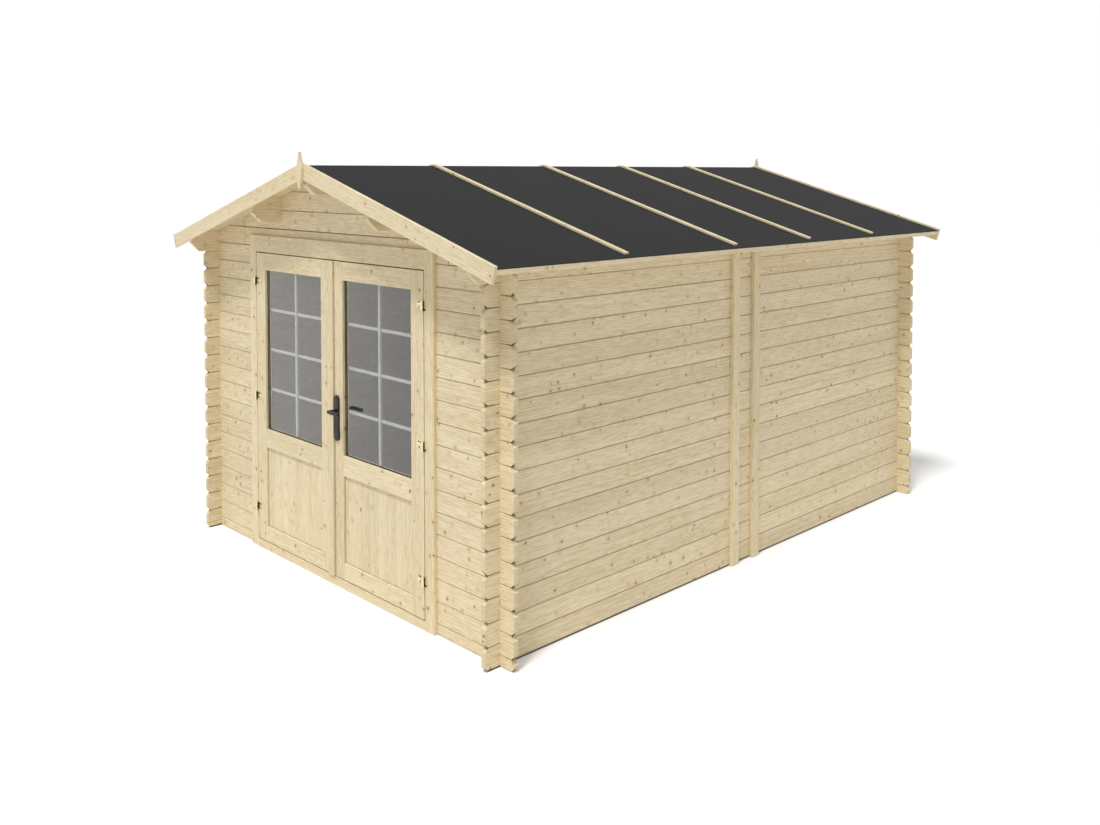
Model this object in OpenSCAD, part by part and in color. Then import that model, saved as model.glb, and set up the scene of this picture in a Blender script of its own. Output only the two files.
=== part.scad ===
// Garden shed: a log cabin with double doors, millimetres, +Z up, front toward -Y.
// The origin is on the ground, in the middle of the plan.

/* [Walls] */
// Outer width of the walls, across the doors
shed_w = 2810; // [2600:10:3400]
// Outer length of the walls, front to rear
shed_l = 3900; // [3200:10:4800]
// Thickness of a wall log
wall_t = 28; // [24:1:40]
// Height of one wall log
log_h = 114; // [108:1:124]
// Number of logs in a side wall, under the eaves beam
log_rows = 16; // [16:1:18]
// Length of the log ends beyond the crossing
log_end = 95; // [70:1:130]
// Depth of the notch between two log ends
end_notch = 22; // [6:1:28]
// Depth of the groove between two logs
groove = 4; // [2:0.5:6]
// Depth of the upright groove beside a gable panel
joint_groove = 3; // [1:0.5:3.5]
// Height of the eaves beam at its outer face
beam_h = 123; // [110:1:150]
// Half width of the gable panel, from the middle to its upright joint
gable_half = 1024; // [960:1:1100]

/* [Roof] */
// Pitch of the roof in degrees
roof_pitch = 16.2; // [12:0.1:20]
// Overhang of the roof beside the walls
eave_over = 195; // [120:1:300]
// Overhang of the roof before the front and the rear wall
gable_over = 205; // [150:1:300]
// Thickness of the roof boards
deck_t = 18; // [14:1:24]
// Thickness of the roofing felt
felt_t = 3; // [2:0.5:5]
// Fitting gap between the layers of the roof
roof_fit = 0.2; // [0.1:0.1:0.5]
// Width of a felt lath
lath_w = 29; // [20:1:50]
// Thickness of a felt lath
lath_t = 13; // [8:1:20]
// Distance of the outer laths from the ends of the roof
lath_inset = 920; // [700:10:1100]
// Spacing of the laths behind the middle
lath_step = 770; // [500:10:900]
// Gap between a lath and the edge of the roof
lath_short = 40; // [10:1:60]
// Gap from the ridge to the upper end of a lath
lath_gap = 5; // [2:1:20]
// Thickness of the trim along the eaves
trim_t = 12; // [8:1:20]
// Height of the trim along the eaves
trim_h = 27; // [22:1:45]
// Width of a barge board
barge_w = 87; // [70:1:110]
// Thickness of a barge board and of a finial
barge_t = 18; // [14:1:24]
// Height of a barge board above the felt
barge_rise = 13; // [5:1:30]
// Height of a finial
finial_h = 205; // [160:1:260]
// Width of a finial at its shoulders
finial_w = 48; // [36:1:70]
// Width of a finial's foot
finial_foot = 16; // [8:1:30]
// Distance from a finial's tip down to its shoulders
finial_shoulder = 88; // [60:1:120]
// Height of a finial's tip above the top of the barge boards
finial_rise = 61; // [40:1:90]

/* [Purlins] */
// Width of a purlin
purlin_w = 45; // [35:1:70]
// Height of a purlin
purlin_h = 144; // [110:1:170]
// Distance of the middle purlins from the ridge
purlin_x = 591; // [500:1:700]
// Length of the slanted cut under a purlin's ends
purlin_cut = 58; // [30:1:105]
// Length of the slanted cut under an eaves beam's ends
beam_cut = 58; // [30:1:90]

/* [Wall battens] */
// Width of a wall batten
batten_w = 65; // [40:1:90]
// Thickness of a wall batten
batten_t = 24; // [15:1:40]
// Distance between the middles of the two battens on a wall
batten_step = 206; // [120:1:400]

/* [Doorway] */
// Half width of the pair of door leaves
leaf_half = 845; // [780:1:880]
// Height of the top edge of the door leaves
leaf_top = 1842; // [1700:1:1846]
// Height of the door sill
sill_h = 50; // [25:1:65]
// Running gap around the door leaves
door_gap = 6; // [5:0.5:10]
// Width of the door frame seen from the front
jamb_w = 75; // [50:1:100]
// Thickness of the door frame in the cut of the wall
jamb_core = 28; // [20:1:40]
// How far the door frame stands proud of both wall faces
jamb_proud = 20; // [12:1:30]
// Width of the door frame's head seen from the front
head_w = 102; // [80:1:120]
// Width of the stop that the leaves close against
stop_w = 14; // [8:1:25]

/* [Door leaves] */
// Thickness of a door leaf
leaf_t = 40; // [34:1:40]
// Where the right leaf's free edge lies, right of the middle
meeting_x = 31; // [20:1:40]
// Width of the outer stiles
stile_w = 105; // [90:1:130]
// Distance of the glass openings from the middle
glass_x = 111; // [100:1:140]
// Height of the top rails
top_rail = 103; // [80:1:140]
// Height of the bottom rails
bottom_rail = 94; // [80:1:140]
// Height of the upper edge of the middle rails
mid_top = 756; // [700:1:800]
// Height of the middle rails
mid_rail = 112; // [90:1:140]
// Thickness of the glass
glass_t = 4; // [3:0.5:6]
// Thickness of the lower panels
panel_t = 16; // [12:1:20]
// Depth of the grooves that hold glass and panels
seat_d = 8; // [5:1:12]
// Width of the strip over the meeting edge
strip_w = 55; // [40:1:70]
// Thickness of the strip over the meeting edge
strip_t = 12; // [8:1:15]

/* [Hinges] */
// Heights of the seams between the two halves of the hinges
hinge_z = [243, 938, 1653];
// Radius of a hinge barrel
barrel_r = 7.5; // [6:0.5:9]
// Distance of the hinge axis before the door face
hinge_out = 10; // [9.5:0.5:14]
// Height of the upper half of a hinge barrel
barrel_h = 38; // [24:1:48]
// Height of the lower half of a hinge barrel
barrel_foot = 13; // [10:1:24]
// Radius of a hinge pin
pin_r = 4; // [3:0.5:4.5]
// Length of a hinge pin inside the upper barrel
pin_l = 18; // [10:1:20]
// Radial running clearance of a hinge pin
pin_clear = 0.05; // [0.02:0.01:0.1]
// Gap between the two halves of a hinge
barrel_gap = 0.3; // [0.2:0.1:0.6]
// Width of a hinge plate on a jamb
plate_w = 27; // [18:1:36]
// Width of a hinge plate on a door leaf
leaf_plate_w = 54; // [30:1:70]
// Thickness of a hinge plate and of its web
plate_t = 3; // [2:0.5:4]

/* [Handle] */
// Where the handle's axis lies, right of the middle
handle_x = 54; // [52:1:70]
// Height of the handle's axis
handle_z = 1004; // [950:1:1050]
// Width of a handle plate
shield_w = 46; // [38:1:48]
// Height of a handle plate
shield_h = 257; // [220:1:280]
// Thickness of a handle plate
shield_t = 10; // [6:0.5:14]
// Distance of the handle's axis above the middle of its plate
shield_up = 43; // [20:1:60]
// Distance of the keyhole below the handle's axis
key_drop = 72; // [60:1:80]
// Radius of the round part of a keyhole
key_r = 4.5; // [3:0.5:6]
// Length of the slot of a keyhole
key_slot = 13; // [8:1:18]
// Radius of the spindle
spindle_r = 5; // [4:0.5:6]
// Radius of a lever's neck
neck_r = 9; // [8:0.5:11]
// Length of a lever from the axis to its tip
lever_l = 100; // [80:1:130]
// Height of a lever's bar
lever_h = 19; // [14:1:24]
// Thickness of a lever's bar
lever_t = 12; // [8:1:16]
// Distance from a handle plate to the outside of its lever
lever_out = 54; // [45:1:70]
// Gap between a handle plate and the neck of its lever
neck_gap = 0.3; // [0.2:0.1:0.6]

/* [Hidden] */
$fn = 48;
margin = 1;
half_w = shed_w / 2;
half_l = shed_l / 2;
inner_x = half_w - wall_t;
inner_y = half_l - wall_t;
quarter = log_h / 4;
side_top = log_rows * log_h;
end_top = side_top + log_h / 2;

// Roof lines: run is measured down the slope from the ridge, rise square to it from the tops of the walls.
ridge_z = side_top + beam_h + half_w * tan(roof_pitch);
deck_top = roof_fit + deck_t;
felt_low = deck_top + roof_fit;
roof_t = felt_low + felt_t;
lath_low = roof_t + roof_fit;
eave_run = (half_w + eave_over - roof_t * sin(roof_pitch)) / cos(roof_pitch);
roof_y = half_l + gable_over - barge_t;
barge_top = roof_t + barge_rise;
function under(x) = ridge_z - abs(x) * tan(roof_pitch);
function slope(run, rise) = [
    run * cos(roof_pitch) + rise * sin(roof_pitch),
    ridge_z - run * sin(roof_pitch) + rise * cos(roof_pitch)
];
function at_ridge(rise) = [0, ridge_z + rise / cos(roof_pitch)];
lath_y = [
    -half_l - gable_over + lath_inset,
    half_l + gable_over - lath_inset - 2 * lath_step,
    half_l + gable_over - lath_inset - lath_step,
    half_l + gable_over - lath_inset
];

// Doorway lines: y values run from the front of the frame to the back.
wall_front = -half_l;
wall_back = wall_front + wall_t;
face_y = wall_front - jamb_proud;
frame_back = wall_back + jamb_proud;
leaf_back = face_y + leaf_t;
stop_y = leaf_back + door_gap;
jamb_x = leaf_half + door_gap;
open_x = jamb_x + jamb_core;
head_z = leaf_top + door_gap;
leaf_bottom = sill_h + door_gap;
head_top = head_z + head_w;
left_edge = meeting_x - door_gap;
mid_bottom = mid_top - mid_rail;
glass_top = leaf_top - top_rail;
panel_bottom = leaf_bottom + bottom_rail;
glass_y = face_y + (leaf_t - glass_t) / 2;
panel_y = face_y + (leaf_t - panel_t) / 2;

// Hinge and handle lines
hinge_x = leaf_half + door_gap / 2;
hinge_y = face_y - hinge_out;
shield_y = [face_y - shield_t, leaf_back];
wood = "#e3c695";
pale_wood = "#ead3a6";
black_metal = "#1c1c1c";

// Extrudes an outline of X and Z along Y.
module along_y(from, to) {
    translate([0, to, 0])
        rotate([90, 0, 0])
            linear_extrude(to - from)
                children();
}

// Extrudes an outline of Y and Z along X.
module along_x(from, to) {
    translate([from, 0, 0])
        rotate([90, 0, 90])
            linear_extrude(to - from)
                children();
}

module box(low, high) {
    translate(low)
        cube(high - low);
}

// A piece drawn on the right, placed there or mirrored to the left.
module on_side(side) {
    if (side < 0)
        mirror([1, 0, 0])
            children();
    else
        children();
}

module on_both_sides() {
    for (side = [-1, 1])
        on_side(side)
            children();
}

// Section of a wall of logs: thickness from zero, a groove at every seam on both faces.
function log_section(bottom, top, seams) = concat(
    [[groove, bottom], [wall_t - groove, bottom], [wall_t, bottom + groove]],
    [for (s = seams) each [[wall_t, s - groove], [wall_t - groove, s], [wall_t, s + groove]]],
    [[wall_t, top - groove], [wall_t - groove, top], [groove, top], [0, top - groove]],
    [for (i = [len(seams) - 1 : -1 : 0]) each
        [[0, seams[i] + groove], [groove, seams[i]], [0, seams[i] - groove]]],
    [[0, bottom + groove]]
);

// Outline of a stack of log ends, upward, with a notch at every seam.
function notched_end(at, side, bottom, top, seams) = concat(
    [[at - side * end_notch, bottom], [at, bottom + end_notch]],
    [for (s = seams) each
        [[at, s - end_notch], [at - side * end_notch, s], [at, s + end_notch]]],
    [[at, top - end_notch], [at - side * end_notch, top]]
);
function backward(points) = [for (i = [len(points) - 1 : -1 : 0]) points[i]];

side_seams = [for (k = [1 : log_rows - 1]) k * log_h];
end_seams = [for (k = [0 : log_rows - 1]) (k + 0.5) * log_h];
gable_seams = [for (s = [end_top + log_h : log_h : ridge_z - 2 * groove]) s];

// Side wall on the right: its logs are notched halfway over and under those of the end walls.
module side_wall() {
    reach = half_l + log_end;
    outline = concat(
        notched_end(reach, 1, 0, side_top, side_seams),
        backward(notched_end(-reach, -1, 0, side_top, side_seams))
    );
    color(wood)
        difference() {
            intersection() {
                along_y(-reach - margin, reach + margin)
                    translate([inner_x, 0])
                        polygon(log_section(0, side_top, side_seams));
                along_x(inner_x - margin, half_w + margin)
                    polygon(outline);
            }
            for (end = [-1, 1])
                for (k = [0 : log_rows])
                    side_crossing(end, k);
        }
}

// Room in a side wall for one log of an end wall.
module side_crossing(end, row) {
    y = end < 0 ? -half_l : inner_y;
    box(
        [inner_x - margin, y, row * log_h - quarter],
        [half_w + margin, y + wall_t, row * log_h + quarter]
    );
}

// Room in an end wall for one log of the side wall on the right.
module end_crossing(y, row) {
    last = row == log_rows ? quarter : 0;
    box(
        [inner_x, y - margin, row * log_h + quarter],
        [half_w, y + wall_t + margin, row * log_h + 3 * quarter + last]
    );
}

// Logs of an end wall from one x to another, as a plain grooved slab.
module end_logs(y, from, to) {
    along_x(from, to)
        translate([y, 0])
            polygon(log_section(0, end_top, end_seams));
}

// The stretch of an end wall from a place inside to the log ends on the right.
module end_wall_half(y, from) {
    reach = half_w + log_end;
    outline = concat(
        notched_end(reach, 1, 0, end_top, end_seams),
        [[from, end_top], [from, 0]]
    );
    difference() {
        intersection() {
            end_logs(y, from, reach + margin);
            along_y(y - margin, y + wall_t + margin)
                polygon(outline);
        }
        for (row = [0 : log_rows])
            end_crossing(y, row);
    }
    corner_filler(y);
}

// Short logs beside the gable panel, cut to the slope of the roof.
module corner_filler(y) {
    difference() {
        intersection() {
            along_x(gable_half, inner_x)
                translate([y, 0])
                    polygon(gable_section());
            along_y(y - margin, y + wall_t + margin)
                polygon([
                    [gable_half, end_top],
                    [inner_x, end_top],
                    [inner_x, under(inner_x)],
                    [gable_half, under(gable_half)]
                ]);
        }
        joint_grooves(y, gable_half);
    }
}

// Upright grooves on both faces of the wall, at the joint beside the gable panel.
module joint_grooves(y, x) {
    translate([0, 0, end_top - margin])
        linear_extrude(ridge_z - end_top)
            for (face = [y, y + wall_t])
                polygon([
                    [x - joint_groove, face],
                    [x, face + joint_groove],
                    [x + joint_groove, face],
                    [x, face - joint_groove]
                ]);
}

function gable_section() = log_section(end_top, ridge_z + log_h, gable_seams);

// Gable panel over an end wall, cut to the roof and notched for the purlins.
module gable(y) {
    color(wood)
        difference() {
            intersection() {
                along_x(-gable_half, gable_half)
                    translate([y, 0])
                        polygon(gable_section());
                along_y(y - margin, y + wall_t + margin)
                    polygon([
                        [-gable_half, end_top],
                        [gable_half, end_top],
                        [gable_half, under(gable_half)],
                        [0, ridge_z],
                        [-gable_half, under(gable_half)]
                    ]);
            }
            for (x = [-purlin_x, 0, purlin_x])
                box(
                    [x - purlin_w / 2, y - margin, under(x) - purlin_h],
                    [x + purlin_w / 2, y + wall_t + margin, ridge_z + log_h]
                );
            for (x = [-gable_half, gable_half])
                joint_grooves(y, x);
        }
}

module front_wall() {
    color(wood)
        end_wall_half(wall_front, open_x);
}

module rear_wall() {
    color(wood)
        union() {
            end_wall_half(inner_y, 0);
            mirror([1, 0, 0])
                end_wall_half(inner_y, 0);
        }
}

// Outline of a long timber's side: its lower corners are cut away at both ends.
function cut_ends(bottom, top, cut) = [
    [-roof_y + cut, bottom],
    [roof_y - cut, bottom],
    [roof_y, bottom + cut],
    [roof_y, top],
    [-roof_y, top],
    [-roof_y, bottom + cut]
];

// Eaves beam on the right, lying on the side wall and over the end walls' top logs.
module eaves_beam() {
    color(wood)
        difference() {
            intersection() {
                along_y(-roof_y - margin, roof_y + margin)
                    polygon([
                        [inner_x + groove, side_top],
                        [half_w - groove, side_top],
                        [half_w, side_top + groove],
                        [half_w, under(half_w)],
                        [inner_x, under(inner_x)],
                        [inner_x, side_top + groove]
                    ]);
                along_x(inner_x - margin, half_w + margin)
                    polygon(cut_ends(side_top, ridge_z, beam_cut));
            }
            for (end = [-1, 1])
                side_crossing(end, log_rows);
        }
}

// Purlin at a distance from the ridge, its top cut to the roof.
module purlin(x) {
    bottom = under(x) - purlin_h;
    low = x - purlin_w / 2;
    high = x + purlin_w / 2;
    peak = x == 0 ? [[0, ridge_z]] : [];
    color(wood)
        intersection() {
            along_y(-roof_y - margin, roof_y + margin)
                polygon(concat(
                    [[low, bottom], [high, bottom], [high, under(high)]],
                    peak,
                    [[low, under(low)]]
                ));
            along_x(low - margin, high + margin)
                polygon(cut_ends(bottom, ridge_z + margin, purlin_cut));
        }
}

// Slab on the right slope between two rises, from the ridge to a run.
module slope_slab(low, high, run, from, to) {
    along_y(from, to)
        polygon([at_ridge(low), slope(run, low), slope(run, high), at_ridge(high)]);
}

module roof_deck() {
    color(pale_wood)
        slope_slab(roof_fit, deck_top, eave_run - trim_t - roof_fit, -roof_y, roof_y);
}

module roof_felt() {
    color("#424242")
        slope_slab(felt_low, roof_t, eave_run, -roof_y, roof_y);
}

// Bar on the right slope between two runs.
module slope_bar(low, high, near, far, from, to) {
    along_y(from, to)
        polygon([slope(near, low), slope(far, low), slope(far, high), slope(near, high)]);
}

module felt_laths() {
    color(pale_wood)
        for (y = lath_y)
            slope_bar(
                lath_low, lath_low + lath_t,
                lath_gap, eave_run - lath_short,
                y - lath_w / 2, y + lath_w / 2
            );
}

module eave_trim() {
    color(pale_wood)
        slope_bar(deck_top - trim_h, deck_top, eave_run - trim_t, eave_run, -roof_y, roof_y);
}

module barge_board(y) {
    color(pale_wood)
        slope_slab(barge_top - barge_w, barge_top, eave_run, y, y + barge_t);
}

// Finial: a spear that narrows in a curve from its shoulders to its foot.
module finial(y) {
    tip = at_ridge(barge_top)[1] + finial_rise;
    shoulder = tip - finial_shoulder;
    foot = tip - finial_h;
    steps = 8;
    curve = [for (i = [0 : steps]) [
        finial_foot / 2 + (finial_w - finial_foot) / 2 * sin(90 * i / steps),
        foot + (shoulder - foot) * i / steps
    ]];
    mirrored = [for (p = backward(curve)) [-p[0], p[1]]];
    color(pale_wood)
        along_y(y, y + barge_t)
            polygon(concat(curve, [[0, tip]], mirrored));
}

module finials() {
    finial(-roof_y - 2 * barge_t);
    finial(roof_y + barge_t);
}

// Two upright battens on the right wall, which stiffen its middle.
module wall_battens() {
    color(pale_wood)
        for (side = [-1, 1])
            box(
                [half_w, side * batten_step / 2 - batten_w / 2, 0],
                [half_w + batten_t, side * batten_step / 2 + batten_w / 2, under(half_w + batten_t)]
            );
}

// Jamb on the right: a channel that holds the ends of the wall's logs, with a stop for the leaf.
module door_jamb() {
    color(pale_wood) {
        difference() {
            box([jamb_x, face_y, 0], [jamb_x + jamb_w, frame_back, head_top]);
            box([open_x, wall_front, -margin], [jamb_x + jamb_w + margin, wall_back, head_top]);
            box([jamb_x - margin, wall_front, end_top], [open_x + margin, wall_back, head_top + margin]);
        }
        box([jamb_x - stop_w, stop_y, sill_h], [jamb_x, frame_back, head_z - stop_w]);
    }
}

module door_head() {
    color(pale_wood)
        along_x(-jamb_x, jamb_x)
            polygon([
                [face_y, head_z],
                [stop_y, head_z],
                [stop_y, head_z - stop_w],
                [frame_back, head_z - stop_w],
                [frame_back, head_top],
                [wall_back, head_top],
                [wall_back, end_top],
                [wall_front, end_top],
                [wall_front, head_top],
                [face_y, head_top]
            ]);
}

module door_sill() {
    color(pale_wood)
        box([-jamb_x, face_y, 0], [jamb_x, frame_back, sill_h]);
}

// Glass and panel lie in grooves of the stiles and rails; the same boxes cut those grooves.
module glass_on(side) {
    on_side(side)
        box(
            [glass_x - seat_d, glass_y, mid_top - seat_d],
            [leaf_half - stile_w + seat_d, glass_y + glass_t, glass_top + seat_d]
        );
}

module panel_on(side) {
    on_side(side)
        box(
            [glass_x - seat_d, panel_y, panel_bottom - seat_d],
            [leaf_half - stile_w + seat_d, panel_y + panel_t, mid_bottom + seat_d]
        );
}

// Two stiles of a leaf; the meeting stile ends at the edge given.
module door_stiles(side, edge) {
    color(pale_wood)
        difference() {
            on_side(side) {
                box([leaf_half - stile_w, face_y, leaf_bottom], [leaf_half, leaf_back, leaf_top]);
                box([edge, face_y, leaf_bottom], [glass_x, leaf_back, leaf_top]);
            }
            glass_on(side);
            panel_on(side);
            if (side > 0)
                translate([handle_x, leaf_back + margin, handle_z])
                    rotate([90, 0, 0])
                        cylinder(r = neck_r, h = leaf_t + 2 * margin);
        }
}

// Three rails of a leaf between its stiles.
module door_rails(side) {
    levels = [[leaf_bottom, panel_bottom], [mid_bottom, mid_top], [glass_top, leaf_top]];
    color(pale_wood)
        difference() {
            on_side(side)
                for (level = levels)
                    box([glass_x, face_y, level[0]], [leaf_half - stile_w, leaf_back, level[1]]);
            glass_on(side);
            panel_on(side);
        }
}

module meeting_strip() {
    color(pale_wood)
        box([left_edge - strip_w, face_y - strip_t, leaf_bottom], [left_edge, face_y, leaf_top]);
}

// Plate and web of half a hinge, from its barrel to the wood beside it.
module hinge_flag(reach, low, high) {
    box(
        [min(0, reach), hinge_out - plate_t, low],
        [max(0, reach), hinge_out, high]
    );
    box([-plate_t / 2, 0, low], [plate_t / 2, hinge_out, high]);
}

// Lower halves of the hinges on the right jamb, each with its pin.
module hinge_pins() {
    color("#c9a24a")
        for (z = hinge_z)
            translate([hinge_x, hinge_y, z]) {
                translate([0, 0, -barrel_foot])
                    cylinder(r = barrel_r, h = barrel_foot);
                cylinder(r = pin_r, h = pin_l);
                hinge_flag(plate_w, -barrel_foot, 0);
            }
}

// Upper halves of the hinges on the right leaf, each with the bore for a pin.
module hinge_barrels() {
    color("#c9a24a")
        for (z = hinge_z)
            translate([hinge_x, hinge_y, z])
                difference() {
                    union() {
                        translate([0, 0, barrel_gap])
                            cylinder(r = barrel_r, h = barrel_h);
                        hinge_flag(-leaf_plate_w, barrel_gap, barrel_gap + barrel_h);
                    }
                    translate([0, 0, -margin])
                        cylinder(r = pin_r + pin_clear, h = margin + pin_l + barrel_gap);
                }
}

// Handle plate with round ends, a bore for the spindle and a keyhole.
module handle_plate(y) {
    color(black_metal)
        along_y(y, y + shield_t)
            translate([handle_x, handle_z])
                difference() {
                    translate([0, -shield_up])
                        union() {
                            square([shield_w, shield_h - shield_w], center = true);
                            for (end = [-1, 1])
                                translate([0, end * (shield_h - shield_w) / 2])
                                    circle(d = shield_w);
                        }
                    circle(r = spindle_r + pin_clear);
                    translate([0, -key_drop])
                        circle(r = key_r);
                    translate([-key_r / 2, -key_drop - key_slot])
                        square([key_r, key_slot]);
                }
}

module handle_plates() {
    for (y = shield_y)
        handle_plate(y);
}

// Lever to the right of its neck, its outside at one y and its neck's foot at another.
module lever(outside, foot) {
    inward = foot > outside ? 1 : -1;
    bar_back = outside + inward * lever_t;
    along_y(min(outside, bar_back), max(outside, bar_back))
        translate([handle_x, handle_z]) {
            circle(d = lever_h);
            translate([0, -lever_h / 2])
                square([lever_l - lever_h / 2, lever_h]);
            translate([lever_l - lever_h / 2, 0])
                circle(d = lever_h);
        }
    along_y(min(bar_back, foot), max(bar_back, foot))
        translate([handle_x, handle_z])
            circle(r = neck_r);
}

// Outer lever with the spindle that runs through the leaf to the inner one.
module outer_lever() {
    foot = shield_y[0] - neck_gap;
    color(black_metal)
        union() {
            lever(shield_y[0] - lever_out, foot);
            along_y(foot - margin, inner_foot())
                translate([handle_x, handle_z])
                    circle(r = spindle_r);
        }
}

function inner_foot() = shield_y[1] + shield_t + neck_gap;

module inner_lever() {
    color(black_metal)
        lever(shield_y[1] + shield_t + lever_out, inner_foot());
}

on_side(-1) side_wall();  // left_wall
on_side(1) side_wall();  // right_wall
rear_wall();
gable(inner_y);  // rear_gable
on_side(-1) front_wall();  // front_wall_left
on_side(1) front_wall();  // front_wall_right
gable(wall_front);  // front_gable
on_side(-1) eaves_beam();  // left_eaves_beam
on_side(1) eaves_beam();  // right_eaves_beam
purlin(0);  // ridge_purlin
purlin(-purlin_x);  // left_purlin
purlin(purlin_x);  // right_purlin
on_side(-1) roof_deck();  // left_roof_deck
on_side(1) roof_deck();  // right_roof_deck
on_side(-1) roof_felt();  // left_roof_felt
on_side(1) roof_felt();  // right_roof_felt
on_side(-1) felt_laths();  // left_felt_laths
on_side(1) felt_laths();  // right_felt_laths
on_both_sides() eave_trim();  // eave_trims
on_side(-1) barge_board(-roof_y - barge_t);  // front_left_barge_board
on_side(1) barge_board(-roof_y - barge_t);  // front_right_barge_board
on_side(-1) barge_board(roof_y);  // rear_left_barge_board
on_side(1) barge_board(roof_y);  // rear_right_barge_board
finials();
on_side(-1) wall_battens();  // left_wall_battens
on_side(1) wall_battens();  // right_wall_battens
on_side(-1) door_jamb();  // left_door_jamb
on_side(1) door_jamb();  // right_door_jamb
door_head();
door_sill();
on_both_sides() hinge_pins();
on_side(-1) hinge_barrels();  // left_hinge_barrels
on_side(1) hinge_barrels();  // right_hinge_barrels
door_stiles(-1, -left_edge);  // left_door_stiles
door_rails(-1);  // left_door_rails
color("#8f9496") glass_on(-1);  // left_door_glass
color(pale_wood) panel_on(-1);  // left_door_panel
meeting_strip();
door_stiles(1, meeting_x);  // right_door_stiles
door_rails(1);  // right_door_rails
color("#8f9496") glass_on(1);  // right_door_glass
color(pale_wood) panel_on(1);  // right_door_panel
handle_plates();
outer_lever();
inner_lever();
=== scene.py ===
# Garden shed: looks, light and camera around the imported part. Metres, +Z up, front toward -Y.
import math

import bmesh
import bpy
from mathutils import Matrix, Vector


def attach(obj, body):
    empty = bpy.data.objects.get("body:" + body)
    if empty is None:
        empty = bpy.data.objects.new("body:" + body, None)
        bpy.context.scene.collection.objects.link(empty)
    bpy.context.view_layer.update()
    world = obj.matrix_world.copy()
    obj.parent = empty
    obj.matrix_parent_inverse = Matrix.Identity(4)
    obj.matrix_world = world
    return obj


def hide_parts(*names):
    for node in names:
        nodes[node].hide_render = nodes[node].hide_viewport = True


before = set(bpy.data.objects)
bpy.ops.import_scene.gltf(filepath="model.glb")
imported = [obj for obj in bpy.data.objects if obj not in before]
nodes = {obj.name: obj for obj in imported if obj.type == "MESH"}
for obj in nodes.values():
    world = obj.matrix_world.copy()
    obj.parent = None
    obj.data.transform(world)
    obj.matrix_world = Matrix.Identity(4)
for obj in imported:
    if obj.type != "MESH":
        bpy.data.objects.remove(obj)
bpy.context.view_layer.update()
scene = bpy.context.scene

# Sizes of the walls and the roof that the added detail follows
LOG_H = 0.114
HALF_W = 1.405
HALF_L = 1.95
WALL_T = 0.028
GROOVE = 0.004
JOINT_GROOVE = 0.003
LOG_END = 0.095
END_NOTCH = 0.022
SIDE_TOP = 1.824
END_TOP = 1.881
BEAM_H = 0.123
BATTEN_Y = 0.103
PITCH = math.radians(16.2)
RIDGE_Z = SIDE_TOP + BEAM_H + HALF_W * math.tan(PITCH)
ROOF_FIT = 0.0002
DECK_T = 0.018
TRIM_T = 0.012
ROOF_T = 0.0214
LATH_TOP = 0.0346
LATH_Y = (-1.23, -0.31, 0.46, 1.23)
EAVE_OVER = 0.195
EAVE_RUN = (HALF_W + EAVE_OVER - ROOF_T * math.sin(PITCH)) / math.cos(PITCH)
ROOF_Y = 2.137

# Sizes of the doors and their fittings
FACE_Y = -1.97
LEAF_BACK = -1.93
GLASS_X = (0.111, 0.74)
GLASS_Z = (0.756, 1.739)
PANEL_X = (0.103, 0.748)
PANEL_Y = (-1.958, -1.942)
PANEL_Z = (0.142, 0.652)
PANEL_SEAT = 0.008
HINGE_X = 0.848
HINGE_Y = -1.98
HINGE_Z = (0.243, 0.938, 1.653)
HINGE_PLATE_T = 0.003
BARREL_R = 0.0075
HANDLE_X = 0.054
HANDLE_Z = 1.004
LOCK_DROP = 0.072
KEY_Z = HANDLE_Z - LOCK_DROP
PLATE_T = 0.01

# The two sides of the shed, each as a sign and a name
HANDS = ((-1, "left"), (1, "right"))

# Camera at the photo's view
CAMERA_PLACE = (5.0418, -5.1725, 2.344)
CAMERA_YAW = 45.693
CAMERA_TILT = 2.07
CAMERA_LENS = 34.129
CAMERA_SENSOR = 36
CAMERA_SHIFT = -0.185
camera_data = bpy.data.cameras.new("camera")
camera_data.sensor_width = CAMERA_SENSOR
camera_data.lens = CAMERA_LENS
camera_data.shift_y = CAMERA_SHIFT
camera = bpy.data.objects.new("camera", camera_data)
camera.location = CAMERA_PLACE
camera.rotation_euler = (math.radians(90 - CAMERA_TILT), 0, math.radians(CAMERA_YAW))
scene.collection.objects.link(camera)
scene.camera = camera
scene.view_settings.view_transform = "Standard"


# Helpers for materials
def srgb(red, green, blue):
    def linear(value):
        value = value / 255
        if value <= 0.04045:
            return value / 12.92
        return ((value + 0.055) / 1.055) ** 2.4
    return (linear(red), linear(green), linear(blue), 1)


def add_node(tree, kind, inputs=None, **settings):
    made = tree.nodes.new(kind)
    for key, value in settings.items():
        setattr(made, key, value)
    for key, value in (inputs or {}).items():
        if isinstance(value, bpy.types.NodeSocket):
            tree.links.new(value, made.inputs[key])
        else:
            made.inputs[key].default_value = value
    return made


def calc(tree, operation, first, second=0.0, clamp=False):
    made = add_node(tree, "ShaderNodeMath", {0: first, 1: second}, operation=operation, use_clamp=clamp)
    return made.outputs[0]


def vector_calc(tree, operation, first, second):
    made = add_node(tree, "ShaderNodeVectorMath", {0: first, 1: second}, operation=operation)
    return made.outputs[0]


def blend(tree, factor, first, second, blend_type="MIX"):
    made = add_node(
        tree, "ShaderNodeMix", {0: factor, 6: first, 7: second}, data_type="RGBA", blend_type=blend_type
    )
    return made.outputs[2]


def fade(tree, value, start, end, low=0.0, high=1.0):
    made = add_node(
        tree, "ShaderNodeMapRange", {0: value, 1: start, 2: end, 3: low, 4: high},
        interpolation_type="SMOOTHSTEP"
    )
    return made.outputs[0]


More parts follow.
